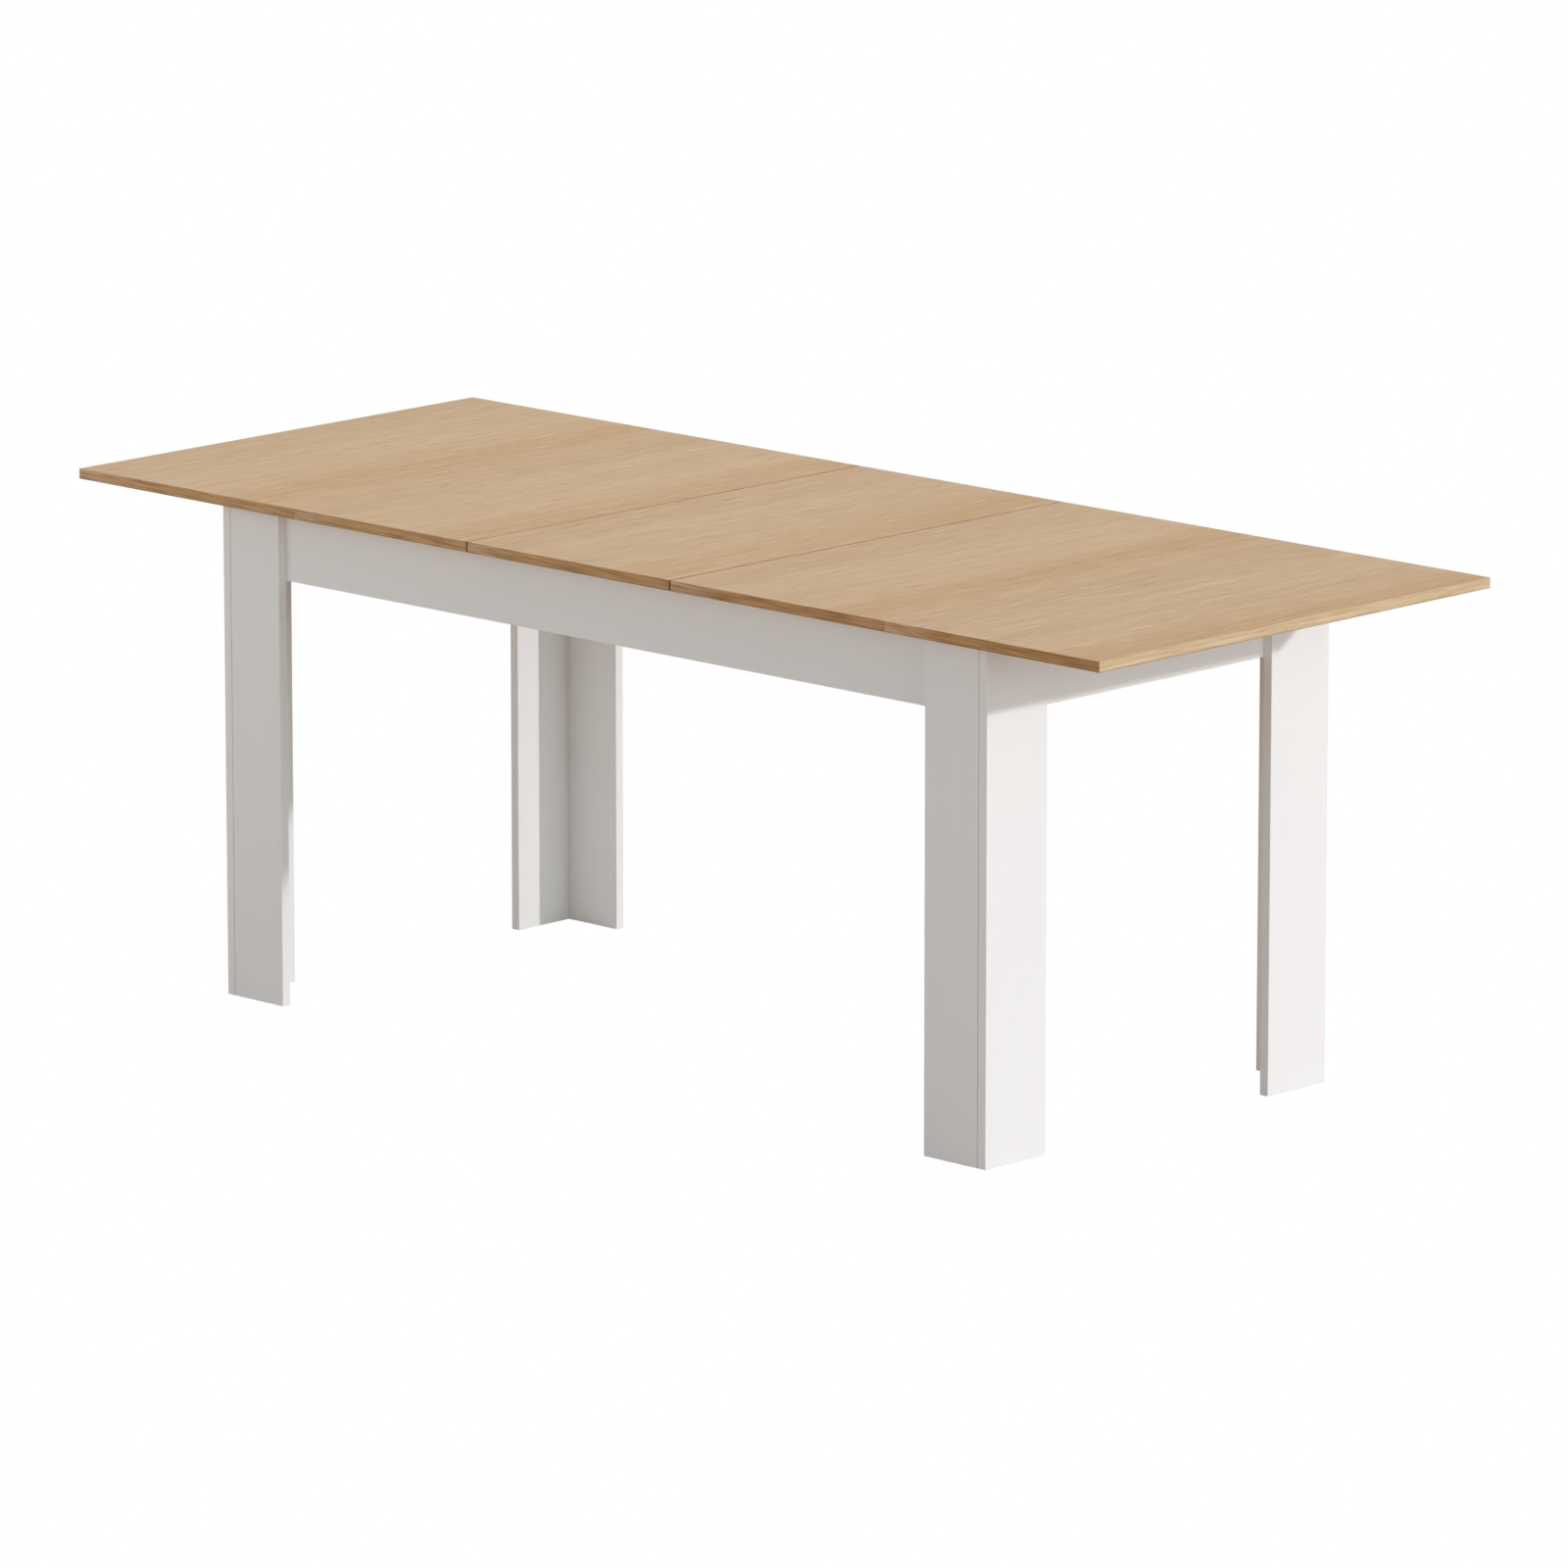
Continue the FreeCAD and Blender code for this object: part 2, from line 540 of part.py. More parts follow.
def make_leg_fasteners():
    """The bolts, threaded inserts and dowels of the four legs."""
    plain_bolt = screw_pattern("leg_bolt", "bolt_radius", "bracket_sheet + board + insert_length",
                               "bolt_head_radius", "bolt_head_height")
    bolt = add_hexagon_socket("leg_bolt", plain_bolt)
    insert = cut("leg_insert", add_cylinder("leg_insert_outside", "insert_radius", "insert_length"),
                 add_cylinder("leg_insert_bore", "bolt_radius", "insert_length"))
    dowel = add_cylinder("leg_dowel", "dowel_radius", "dowel_length")
    bolts = []
    inserts = []
    dowels = []
    for _, end_sign in ENDS:
        for _, side_sign in SIDES:
            bolt_x = signed(end_sign, f"({INNER_END} - bolt_inset)")
            bolt_y = signed(side_sign, f"({APRON_FACE} - bolt_inset)")
            for height in BOLT_HEIGHTS:
                side_bolt_y = signed(side_sign, f"({APRON_FACE} - bracket_sheet)")
                end_bolt_x = signed(end_sign, f"({INNER_END} - bracket_sheet)")
                bolts.append(((bolt_x, side_bolt_y, height), TOWARDS["y", side_sign]))
                bolts.append(((end_bolt_x, bolt_y, height), TOWARDS["x", end_sign]))
                side_insert_y = signed(side_sign, "(frame_width / 2 - board)")
                end_insert_x = signed(end_sign, "(frame_length / 2 - board)")
                inserts.append(((bolt_x, side_insert_y, height), TOWARDS["y", side_sign]))
                inserts.append(((end_insert_x, bolt_y, height), TOWARDS["x", end_sign]))
            dowel_x = signed(end_sign, "(frame_length / 2 - board + dowel_in_face)")
            dowel_y = signed(side_sign, "(frame_width / 2 - board / 2)")
            dowels += [((dowel_x, dowel_y, height), TOWARDS["x", -end_sign]) for height in DOWEL_HEIGHTS]
    add_copies("leg_bolts", bolt, bolts)
    add_copies("leg_inserts", insert, inserts)
    add_copies("leg_dowels", dowel, dowels)


def make_pads_and_buffers():
    """Felt pads under the half tops, and rubber buffers that stop the half tops' steel angles."""
    pads = []
    for _, sign in ENDS:
        for _, side_sign in SIDES:
            end_x = f"{signed(sign, '(frame_length / 2 - 1.5 * board)')} - pad_width / 2"
            end_y = f"{signed(side_sign, 'pad_on_end')} - pad_length / 2"
            side_x = f"{signed(sign, 'pad_on_side')} - pad_length / 2"
            side_y = f"{signed(side_sign, '(frame_width / 2 - 1.5 * board)')} - pad_width / 2"
            number = len(pads)
            pads.append(add_box(f"pad_{number}", ("pad_width", "pad_length", "pad_sheet"), (end_x, end_y, FRAME_TOP)))
            pads.append(add_box(f"pad_{number + 1}", ("pad_length", "pad_width", "pad_sheet"),
                                (side_x, side_y, FRAME_TOP)))
    add_group("felt_pads", pads)
    buffer = add_cylinder("stop_buffer", "buffer_radius", "buffer_length")
    add_copies("stop_buffers", buffer, [
        ((signed(sign, f"({INNER_END} - bracket_sheet)"), signed(side_sign, "buffer_line"), "buffer_height"),
         TOWARDS["x", -sign]) for _, sign in ENDS for _, side_sign in SIDES])


# --- runners -----------------------------------------------------------------------------------------------------
MIDDLE_HEIGHT = "runner_height - 2 * (runner_sheet + 2 * (ball_play + ball_radius))"
INNER_HEIGHT = f"{MIDDLE_HEIGHT} - 2 * (runner_sheet + 2 * (ball_play + ball_radius))"
FIXINGS = row("fixing_first", "fixing_pitch", FIXINGS_PER_RUNNER)


def place_on_runner(body, end_sign, side_sign, start, depth, height):
    """Put a member, drawn along +X with its depth along +Y, beside the long apron on one side of one end."""
    if side_sign < 0:
        along = start if end_sign > 0 else f"-({start} + runner_length)"
        turn = NO_TURN
    else:
        along = f"{start} + runner_length" if end_sign > 0 else f"-({start})"
        turn = FreeCAD.Rotation(Z_AXIS, 180)
    return place(body, (along, signed(side_sign, f"({APRON_FACE} - ({depth}))"), height), turn)


def make_fixed_member(label, end_sign, side_sign):
    """The outer C of a runner, screwed to the long apron, with a return lip on each flange."""
    inside = "runner_depth - 2 * runner_sheet"
    steps = (("x", "runner_depth"), ("y", "runner_lip"), ("-x", "runner_sheet"), ("-y", "runner_lip - runner_sheet"),
             ("-x", inside), ("y", "runner_height - 2 * runner_sheet"), ("x", inside),
             ("-y", "runner_lip - runner_sheet"), ("x", "runner_sheet"), ("y", "runner_lip"))
    depth = measure("runner_depth")
    height = measure("runner_height")
    body = add_profile(label, steps, "runner_length", "runner_sheet",
                       lambda y, z: min(y, depth - y) < TOUCH and min(z, height - z) < TOUCH)
    drill(body, "XZ_Plane", "0", [(x, "runner_height / 2") for x in FIXINGS], "screw_radius", "runner_sheet")
    place_on_runner(body, end_sign, side_sign, "runner_start", "0", "runner_axis - runner_height / 2")
    return finish(body, label)


def make_middle_member(label, end_sign, side_sign):
    """The middle C of a runner, which runs out half as far as the half top does."""
    depth = "(middle_front - middle_back)"
    steps = (("x", depth), ("y", "runner_sheet"), ("-x", f"{depth} - runner_sheet"),
             ("y", f"{MIDDLE_HEIGHT} - 2 * runner_sheet"), ("x", f"{depth} - runner_sheet"), ("y", "runner_sheet"))
    height = measure(MIDDLE_HEIGHT)
    body = add_profile(label, steps, "runner_length", "runner_sheet",
                       lambda y, z: y < TOUCH and min(z, height - z) < TOUCH)
    place_on_runner(body, end_sign, side_sign, "runner_start + runner_out / 2", "middle_back",
                    f"runner_axis - ({MIDDLE_HEIGHT}) / 2")
    return finish(body, label)


def make_inner_member(label, end_sign, side_sign):
    """The inner C of a runner, open towards the apron and riveted to the half top's steel angle."""
    depth = "(inner_front - inner_back)"
    steps = (("x", depth), ("y", INNER_HEIGHT), ("-x", depth), ("-y", "runner_sheet"),
             ("x", f"{depth} - runner_sheet"), ("-y", f"{INNER_HEIGHT} - 2 * runner_sheet"))
    face = measure(depth)
    height = measure(INNER_HEIGHT)
    body = add_profile(label, steps, "runner_length", "runner_sheet",
                       lambda y, z: face - y < TOUCH and min(z, height - z) < TOUCH)
    drill(body, "XZ_Plane", f"-{depth}", [(x, f"({INNER_HEIGHT}) / 2") for x in FIXINGS],
          "screw_radius", "runner_sheet", True)
    place_on_runner(body, end_sign, side_sign, "runner_start + runner_out", "inner_back",
                    f"runner_axis - ({INNER_HEIGHT}) / 2")
    return finish(body, label)


def make_cage_row():
    """One row of a ball cage: a strip along +X with a ball in each of its holes."""
    strip = add_box("cage_strip", ("cage_length", "cage_width", "cage_sheet"),
                    ("0", "-cage_width / 2", "-cage_sheet / 2"))
    balls = []
    holes = []
    for number, along in enumerate(row("ball_first", "ball_pitch", BALLS_PER_ROW)):
        ball = doc.addObject("Part::Sphere", f"ball_{number}")
        bind(ball, "Radius", "ball_radius")
        balls.append(place(ball, (along, "0", "0")))
        holes.append(add_cylinder(f"cage_hole_{number}", "ball_radius + ball_play / 2", "cage_sheet",
                                  (along, "0", "-cage_sheet / 2")))
    all_holes = doc.addObject("Part::MultiFuse", "cage_holes")
    all_holes.Shapes = holes
    cage_row = doc.addObject("Part::Compound", "cage_row")
    cage_row.Links = [cut("cage_bored", strip, all_holes)] + balls
    return cage_row


def make_cages(end, end_sign, cage_row):
    """The outer and inner ball cages of one end: an upper and a lower row in each of its two runners."""
    for kind, share, member_height in (("outer", "1 / 4", MIDDLE_HEIGHT), ("inner", "3 / 4", INNER_HEIGHT)):
        start = f"(cage_start + leaf_space / 2 * {share})"
        along = start if end_sign > 0 else f"-({start} + cage_length)"
        from_axis = f"(({member_height}) / 2 + ball_play + ball_radius)"
        add_copies(f"ball_cages_{kind}_{end}", cage_row, [
            ((along, signed(side_sign, f"({APRON_FACE} - ball_line)"), f"runner_axis + {signed(up, from_axis)}"),
             NO_TURN) for _, side_sign in SIDES for up in (-1, 1)])


def make_runner_screws():
    """The screws that hold the fixed members to the long aprons."""
    plain_screw = screw_pattern("fixing_screw", "screw_radius", "runner_sheet + fixing_bite",
                                "screw_head_radius", "low_head_height")
    screw = add_cross_recess("fixing_screw", plain_screw, "low_head_height")
    add_copies("runner_screws", screw, [
        ((signed(sign, f"(runner_start + {x})"), signed(side_sign, f"({APRON_FACE} - runner_sheet)"), "runner_axis"),
         TOWARDS["y", side_sign]) for _, sign in ENDS for _, side_sign in SIDES for x in FIXINGS])


# --- top ---------------------------------------------------------------------------------------------------------
HALF_INNER = "leaf_space / 2"
HALF_LENGTH = "closed_length / 2"
CARRIER_X = f"{HALF_INNER} + carrier_start"
CARRIER_Y = f"{APRON_FACE} - inner_front - carrier_hole_line"
CARRIER_SCREWS = row("carrier_first", "carrier_pitch", SCREWS_PER_CARRIER)
CARRIER_BOTTOM = f"{TOP_UNDERSIDE} - carrier_height"
CORE_EDGE = "top_width / 2 - band"


def plate_lines(sign):
    """Middle lines of the two leaf plates of one half; the two halves' plates pass each other."""
    return (signed(sign, "plate_far"), signed(-sign, "plate_near"))


def make_edge_bands(label, left, length):
    """Four strips round a top board: long ones along the front and back, short ones between them."""
    short = "top_width - 2 * band"
    strips = (
        ("front", (left, "-top_width / 2"), (length, "band"), "y", "0", True),
        ("back", (left, "top_width / 2 - band"), (length, "band"), "y", "band", True),
        ("left", (left, f"-({CORE_EDGE})"), ("band", short), "x", "0", False),
        ("right", (f"{left} + {length} - band", f"-({CORE_EDGE})"), ("band", short), "x", "band", False))
    pieces = []
    for where, corner, size, axis, face, round_ends in strips:
        body = doc.addObject("PartDesign::Body", f"{label}_{where}")
        sketch = add_sketch(body, f"{body.Name}_outline", "XY_Plane")
        draw_steps(sketch, (("x", size[0]), ("y", size[1])))
        pad = add_pad(body, sketch, "top_board")
        outer = measure(face)

        def on_outside(edge, axis=axis, outer=outer, round_ends=round_ends):
            box = edge.BoundBox
            on_face = abs(getattr(box.Center, axis) - outer) < TOUCH
            return on_face and (round_ends or not is_upright(edge))

        round_edges(body, pad, "band_round", on_outside)
        pieces.append(place(body, (corner[0], corner[1], TOP_UNDERSIDE)))
    return add_group(label, pieces)


def make_half_top(end, sign):
    """A half top: its board, edge bands, steel angles, inner runner members, rivets, leaf plates and screws."""
    left = f"{HALF_INNER} + band" if sign > 0 else f"-({HALF_INNER} + {HALF_LENGTH} - band)"
    panel = add_board(f"top_panel_{end}", (left, f"-({CORE_EDGE})", TOP_UNDERSIDE),
                      (f"{HALF_LENGTH} - 2 * band", f"2 * ({CORE_EDGE})", "top_board"))
    band_left = HALF_INNER if sign > 0 else f"-({HALF_INNER} + {HALF_LENGTH})"
    make_edge_bands(f"edge_bands_{end}", band_left, HALF_LENGTH)

    screw_spots = [(signed(sign, f"({CARRIER_X} + {x})"), signed(side_sign, f"({CARRIER_Y})"))
                   for _, side_sign in SIDES for x in CARRIER_SCREWS]
    screw_spots += [(signed(sign, f"({HALF_INNER} + plate_screw_in)"), f"{line} + {signed(step, 'plate_screw_half')}")
                    for line in plate_lines(sign) for step in (-1, 1)]
    drill(panel, "XY_Plane", "0", [(f"{x} - ({left})", f"{y} + {CORE_EDGE}") for x, y in screw_spots],
          "screw_radius", "screw_bite", True)
    plain_screw = screw_pattern(f"top_screw_{end}", "screw_radius", "carrier_sheet + screw_bite",
                                "screw_head_radius", "screw_head_height")
    screw = add_cross_recess(f"top_screw_{end}", plain_screw, "screw_head_height")
    add_copies(f"underside_screws_{end}", screw,
               [((x, y, f"{TOP_UNDERSIDE} - carrier_sheet"), NO_TURN) for x, y in screw_spots])

    for side, side_sign in SIDES:
        make_carrier(f"carrier_angle_{side}_{end}", sign, side_sign)
        make_inner_member(f"runner_inner_{side}_{end}", sign, side_sign)
    make_rivets(end, sign)
    make_leaf_plates(end, sign)


def make_carrier(label, end_sign, side_sign):
    """A steel angle: its upright flange carries a runner's inner member and its level flange the half top."""
    steps = (("x", "carrier_sheet"), ("y", "carrier_height - carrier_sheet"), ("x", "carrier_flange - carrier_sheet"),
             ("y", "carrier_sheet"))
    height = measure("carrier_height")
    body = add_profile(label, steps, "runner_length", "carrier_sheet",
                       lambda y, z: y < TOUCH and height - z < TOUCH)
    drill(body, "XZ_Plane", "0", [(x, f"runner_axis - ({CARRIER_BOTTOM})") for x in FIXINGS],
          "screw_radius", "carrier_sheet")
    drill(body, "XY_Plane", "carrier_height", [(x, "carrier_hole_line") for x in CARRIER_SCREWS],
          "screw_radius", "carrier_sheet")
    place_on_runner(body, end_sign, side_sign, CARRIER_X, "inner_front", CARRIER_BOTTOM)
    return finish(body, label)


def make_rivets(end, sign):
    """The rivets that hold the inner runner members to the steel angles."""
    shank = screw_pattern(f"rivet_{end}", "screw_radius", "runner_sheet + carrier_sheet",
                          "screw_head_radius", "low_head_height")
    tail = add_cylinder(f"rivet_tail_{end}", "screw_head_radius", "low_head_height",
                        ("0", "0", "runner_sheet + carrier_sheet"))
    rivet = join(f"whole_rivet_{end}", shank, tail)
    add_copies(f"runner_rivets_{end}", rivet, [
        ((signed(sign, f"({CARRIER_X} + {x})"), signed(side_sign, f"({APRON_FACE} - inner_front + runner_sheet)"),
          "runner_axis"), TOWARDS["y", -side_sign]) for _, side_sign in SIDES for x in FIXINGS])


def make_leaf_plates(end, sign):
    """Two steel plates under a half top that reach under the leaf and carry its edge."""
    body = doc.addObject("PartDesign::Body", f"leaf_plate_{end}")
    sketch = add_sketch(body, f"{body.Name}_outline", "XY_Plane")
    draw_steps(sketch, (("x", "plate_length"), ("y", "plate_width")))
    pad = add_pad(body, sketch, "plate_sheet")
    round_edges(body, pad, "plate_corner", is_upright)
    holes = [("plate_reach + plate_screw_in", f"plate_width / 2 + {signed(step, 'plate_screw_half')}")
             for step in (-1, 1)]
    drill(body, "XY_Plane", "0", holes, "screw_radius", "plate_sheet", True)
    turn = NO_TURN if sign > 0 else FreeCAD.Rotation(Z_AXIS, 180)
    add_copies(f"leaf_plates_{end}", body, [
        ((signed(sign, f"({HALF_INNER} - plate_reach)"), f"{line} - {signed(sign, 'plate_width / 2')}",
          f"{TOP_UNDERSIDE} - plate_sheet"), turn) for line in plate_lines(sign)])


def make_leaf():
    """The lift-out leaf: its board, edge bands, two stiffening battens and their screws."""
    half = f"({HALF_INNER} - seam)"
    left = f"-({half} - band)"
    panel = add_board("leaf_panel", (left, f"-({CORE_EDGE})", TOP_UNDERSIDE),
                      (f"2 * ({half} - band)", f"2 * ({CORE_EDGE})", "top_board"))
    make_edge_bands("edge_bands_leaf", f"-{half}", f"2 * {half}")
    screws_y = row("batten_first", "batten_pitch", SCREWS_PER_BATTEN)
    spots = [(signed(sign, "batten_line"), f"{y} - batten_length / 2") for _, sign in ENDS for y in screws_y]
    drill(panel, "XY_Plane", "0", [(f"{x} - ({left})", f"{y} + {CORE_EDGE}") for x, y in spots],
          "screw_radius", "screw_bite", True)
    for end, sign in ENDS:
        batten = add_board(f"leaf_batten_{end}",
                           (f"{signed(sign, 'batten_line')} - batten_width / 2", "-batten_length / 2",
                            f"{TOP_UNDERSIDE} - batten_height"),
                           ("batten_width", "batten_length", "batten_height"), "board_round")
        drill(batten, "XY_Plane", "0", [("batten_width / 2", y) for y in screws_y],
              "screw_radius + bolt_play", "batten_height", True)
    plain_screw = screw_pattern("leaf_screw", "screw_radius", "batten_height + screw_bite",
                                "screw_head_radius", "screw_head_height")
    screw = add_cross_recess("leaf_screw", plain_screw, "screw_head_height")
    add_copies("leaf_screws", screw, [((x, y, f"{TOP_UNDERSIDE} - batten_height"), NO_TURN) for x, y in spots])


# --- the table ---------------------------------------------------------------------------------------------------
for end, end_sign in ENDS:
    for side, side_sign in SIDES:
        make_leg(end, end_sign, side, side_sign)
for side, side_sign in SIDES:
    make_long_apron(side, side_sign)
for end, end_sign in ENDS:
    make_end_apron(end, end_sign)
make_cross_rail()
make_corner_brackets()
make_leg_fasteners()
make_pads_and_buffers()
for end, end_sign in ENDS:
    for side, side_sign in SIDES:
        make_fixed_member(f"runner_fixed_{side}_{end}", end_sign, side_sign)
        make_middle_member(f"runner_middle_{side}_{end}", end_sign, side_sign)
make_runner_screws()
cage_row_pattern = make_cage_row()
for end, end_sign in ENDS:
    make_cages(end, end_sign, cage_row_pattern)
    make_half_top(end, end_sign)
make_leaf()
doc.recompute()

# --- checks and export -------------------------------------------------------------------------------------------
for feature in doc.Objects:
    if {"Invalid", "Error"} & set(feature.State):
        raise RuntimeError(f"{feature.Label} did not compute: {feature.State}")
for subpart in subparts:
    if subpart.Shape.isNull() or not subpart.Shape.isValid() or not subpart.Shape.Solids:
        raise RuntimeError(f"{subpart.Label} has no valid solid")
os.makedirs("parts", exist_ok=True)
for subpart in subparts:
    subpart.Shape.exportStep(os.path.join("parts", subpart.Label + ".step"))
print(f"{len(subparts)} sub-parts")
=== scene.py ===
"""Looks for the extending dining table: oak laminate, white boards, steel fittings, studio light and camera."""
import json
import math

import bpy
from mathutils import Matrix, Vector

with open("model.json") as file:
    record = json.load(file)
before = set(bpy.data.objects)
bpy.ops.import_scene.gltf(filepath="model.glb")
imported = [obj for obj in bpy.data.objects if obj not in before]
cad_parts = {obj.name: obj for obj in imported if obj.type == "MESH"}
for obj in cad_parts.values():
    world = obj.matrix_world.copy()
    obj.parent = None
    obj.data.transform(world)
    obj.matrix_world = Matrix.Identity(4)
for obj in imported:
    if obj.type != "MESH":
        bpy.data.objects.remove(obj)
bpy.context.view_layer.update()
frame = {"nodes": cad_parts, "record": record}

MM = 0.001
NODES = frame["nodes"]

# --- camera and light -------------------------------------------------------------------------------------
CAMERA_AIM = Vector((0.033, 0.0, 0.375))
CAMERA_AZIMUTH = math.radians(43.89)
CAMERA_ELEVATION = math.radians(12.3)
CAMERA_DISTANCE = 15.94
CAMERA_LENS = 257.8

# The key light stands to the right and a little behind; its size sets how soft the shadows' edges are.
KEY_AZIMUTH = math.radians(31.8)
KEY_ELEVATION = math.radians(19.0)
KEY_SIZE = math.radians(2.0)
KEY_STRENGTH = 1.59
KEY_COLOUR = (0.91, 0.90, 0.94)

# The sky is one even light plus soft lobes: where each is brightest, how tight it is, and its colour.
SKY_EVEN = (0.01, 0.01, 0.01)
WIDE_LOBE = 2.0
CLOSE_LOBE = 8.0
TIGHT_LOBE = 12.0
ABOVE = (0.0, 0.0, 1.0)
RIGHT = (1.0, 0.0, 0.0)
LEFT = (-1.0, 0.0, 0.0)
FRONT = (0.0, -1.0, 0.0)
BACK = (0.0, 1.0, 0.0)
BACK_LEFT = (-0.68, 0.70, 0.22)
SKY_LOBES = (
    (ABOVE, WIDE_LOBE, (0.62, 0.505, 0.465)),
    (RIGHT, TIGHT_LOBE, (4.13, 4.70, 4.95)),
    (LEFT, WIDE_LOBE, (0.14, 0.14, 0.12)),
    (LEFT, TIGHT_LOBE, (0.20, 0.36, 0.64)),
    (FRONT, TIGHT_LOBE, (2.46, 2.70, 2.81)),
    (BACK, WIDE_LOBE, (0.65, 0.65, 0.61)),
    (BACK_LEFT, CLOSE_LOBE, (0.91, 0.91, 0.69)),
)

# A soft box at the front left that fades across the long side of the table.
FILL_PLACE = Vector((-2.5, -3.0, 1.5))
FILL_AIM = Vector((-0.5, 0.0, 0.4))
FILL_SIZE = 1.5
FILL_POWER = 12.2
FILL_COLOUR = (0.92, 1.0, 0.95)

FLOOR_SIZE = 120.0
FLOOR_DROP = 0.5 * MM
FLOOR_WHITE = (1.0, 1.0, 1.0, 1.0)
FLOOR_BOUNCE = (0.62, 0.56, 0.51, 1.0)


# --- shader helpers ---------------------------------------------------------------------------------------
class Shader:
    """A node material being built: short calls add a node, set its inputs and return one output."""

    def __init__(self, name):
        self.material = bpy.data.materials.new(name)
        self.material.use_nodes = True
        self.tree = self.material.node_tree
        self.tree.nodes.clear()
        self.output = self.tree.nodes.new("ShaderNodeOutputMaterial")

    def node(self, kind, inputs=(), **settings):
        """A node with its settings and inputs; an input is a value or another node's output."""
        node = self.tree.nodes.new(kind)
        for name, value in settings.items():
            setattr(node, name, value)
        for name, value in dict(inputs).items():
            self.feed(node.inputs[name], value)
        return node

    def feed(self, socket, value):
        """Link an output into the socket, or set the socket's own value."""
        if isinstance(value, bpy.types.NodeSocket):
            self.tree.links.new(value, socket)
        else:
            socket.default_value = value

    def math(self, operation, first, second=0.0):
        """One math node's output."""
        return self.node("ShaderNodeMath", {0: first, 1: second}, operation=operation).outputs[0]

    def times(self, first, second):
        return self.math("MULTIPLY", first, second)

    def plus(self, first, second):
        return self.math("ADD", first, second)

    def minus(self, first, second):
        return self.math("SUBTRACT", first, second)

    def unsigned(self, value):
        """The value without its sign."""
        return self.math("ABSOLUTE", value)

    def position(self):
        """Place on the object, in metres, as separate X, Y and Z outputs."""
        place = self.node("ShaderNodeTexCoord").outputs["Object"]
        return self.node("ShaderNodeSeparateXYZ", {0: place}).outputs

    def vector(self, x, y, z):
        """A vector from three values or outputs."""
        return self.node("ShaderNodeCombineXYZ", {"X": x, "Y": y, "Z": z}).outputs[0]

    def noise(self, vector, scale=1.0, detail=2.0, roughness=0.5):
        """Noise from 0 to 1."""
        return self.node("ShaderNodeTexNoise", {"Vector": vector, "Scale": scale, "Detail": detail,
                                                "Roughness": roughness}).outputs["Fac"]

    def remap(self, value, low, high, to_low=0.0, to_high=1.0):
        """Straight-line map of low..high, clamped."""
        return self.node("ShaderNodeMapRange", {"Value": value, "From Min": low, "From Max": high,
                                                "To Min": to_low, "To Max": to_high}).outputs[0]

    def between(self, value, rise, full, fall, gone):
        """1 from full to fall, 0 below rise and above gone, straight slopes between."""
        return self.times(self.remap(value, rise, full), self.remap(value, fall, gone, 1.0, 0.0))

    def mix(self, factor, first, second, blend="MIX"):
        """Colours first to second by factor."""
        node = self.node("ShaderNodeMix", data_type="RGBA", blend_type=blend)
        self.feed(node.inputs["Factor"], factor)
        self.feed(node.inputs[6], first)
        self.feed(node.inputs[7], second)
        return node.outputs[2]

    def bump(self, height, distance, strength=1.0):
        """A normal raised by a height from 0 to 1 times the distance."""
        return self.node("ShaderNodeBump", {"Height": height, "Distance": distance,
                                            "Strength": strength}).outputs[0]

    def surface(self, **inputs):
        """The finished material, with one Principled shader."""
        names = {"colour": "Base Color", "rough": "Roughness", "metal": "Metallic", "normal": "Normal",
                 "specular": "Specular IOR Level"}
        shader = self.node("ShaderNodeBsdfPrincipled", {names[key]: value for key, value in inputs.items()})
        self.tree.links.new(shader.outputs[0], self.output.inputs[0])
        return self.material


def rgb(red, green, blue):
    """Linear colour with full alpha."""
    return (red, green, blue, 1.0)


# --- materials --------------------------------------------------------------------------------------------
OAK_PALE = rgb(0.728, 0.500, 0.301)
OAK_PINK = rgb(0.674, 0.443, 0.260)
OAK_GOLD = rgb(0.655, 0.394, 0.188)
OAK_PORE = rgb(0.400, 0.235, 0.115)
OAK_FLECK = rgb(0.880, 0.690, 0.475)
BAND_PALE = rgb(0.760, 0.508, 0.325)
BAND_LIGHT = rgb(0.710, 0.440, 0.228)
BAND_BROWN = rgb(0.585, 0.318, 0.130)
BAND_END = rgb(0.738, 0.572, 0.378)
# Painted shade for the seam faces and the bands' lower arris.
BAND_PAINTED_SHADE = rgb(0.190, 0.082, 0.034)
BAND_STREAK = rgb(0.62, 0.55, 0.46)

# The printed oak repeats across the grain: from the start of a board, one repeat is pink, pale, then golden.
PRINT_REPEAT = 0.43
PRINT_WANDER = 0.09
# Where the gold and the pink rise, are full, fall and are gone, as parts of a repeat.
# The pink's repeat starts earlier.
GOLD_STRIPE = (0.60, 0.76, 0.86, 0.98)
PINK_STRIPE = (0.12, 0.20, 0.36, 0.46)
PINK_LEAD = 0.2

# Layers of the grain: features per metre across and along it, and an offset that keeps the layers apart.
GROWTH_LINES = (160.0, 3.0, 7.7)
PALE_FLECKS = (300.0, 14.0, 2.9)
DARK_STREAKS = (400.0, 18.0, 5.3)
PORES = (1500.0, 70.0, 1.9)
LINE_TINT = rgb(0.74, 0.68, 0.56)
OAK_ROUGH = 0.46
OAK_RELIEF = 0.05 * MM

# Bands: their print is pale until its start is this far away, they turn browner between two places along
# the table, and the faces at the ends of the table stand beyond the last distance.
BAND_PALE_RUN = (0.07, 0.15)
BAND_TURN = (-0.90, 0.90)
BAND_END_FACE = 0.9988
# The grain of a band is finer across than a board's, and it is shifted where the print starts again.
BAND_GRAIN = 1.3
BAND_SHIFT = 0.9
# Short streaks climb slowly along the band: features per metre up and along, climb, and depth on each face.
STREAK_UP = 420.0
STREAK_ALONG = 14.0
STREAK_CLIMB = 11.0
STREAK_ON_SIDE = 0.85
STREAK_ON_END = 0.30
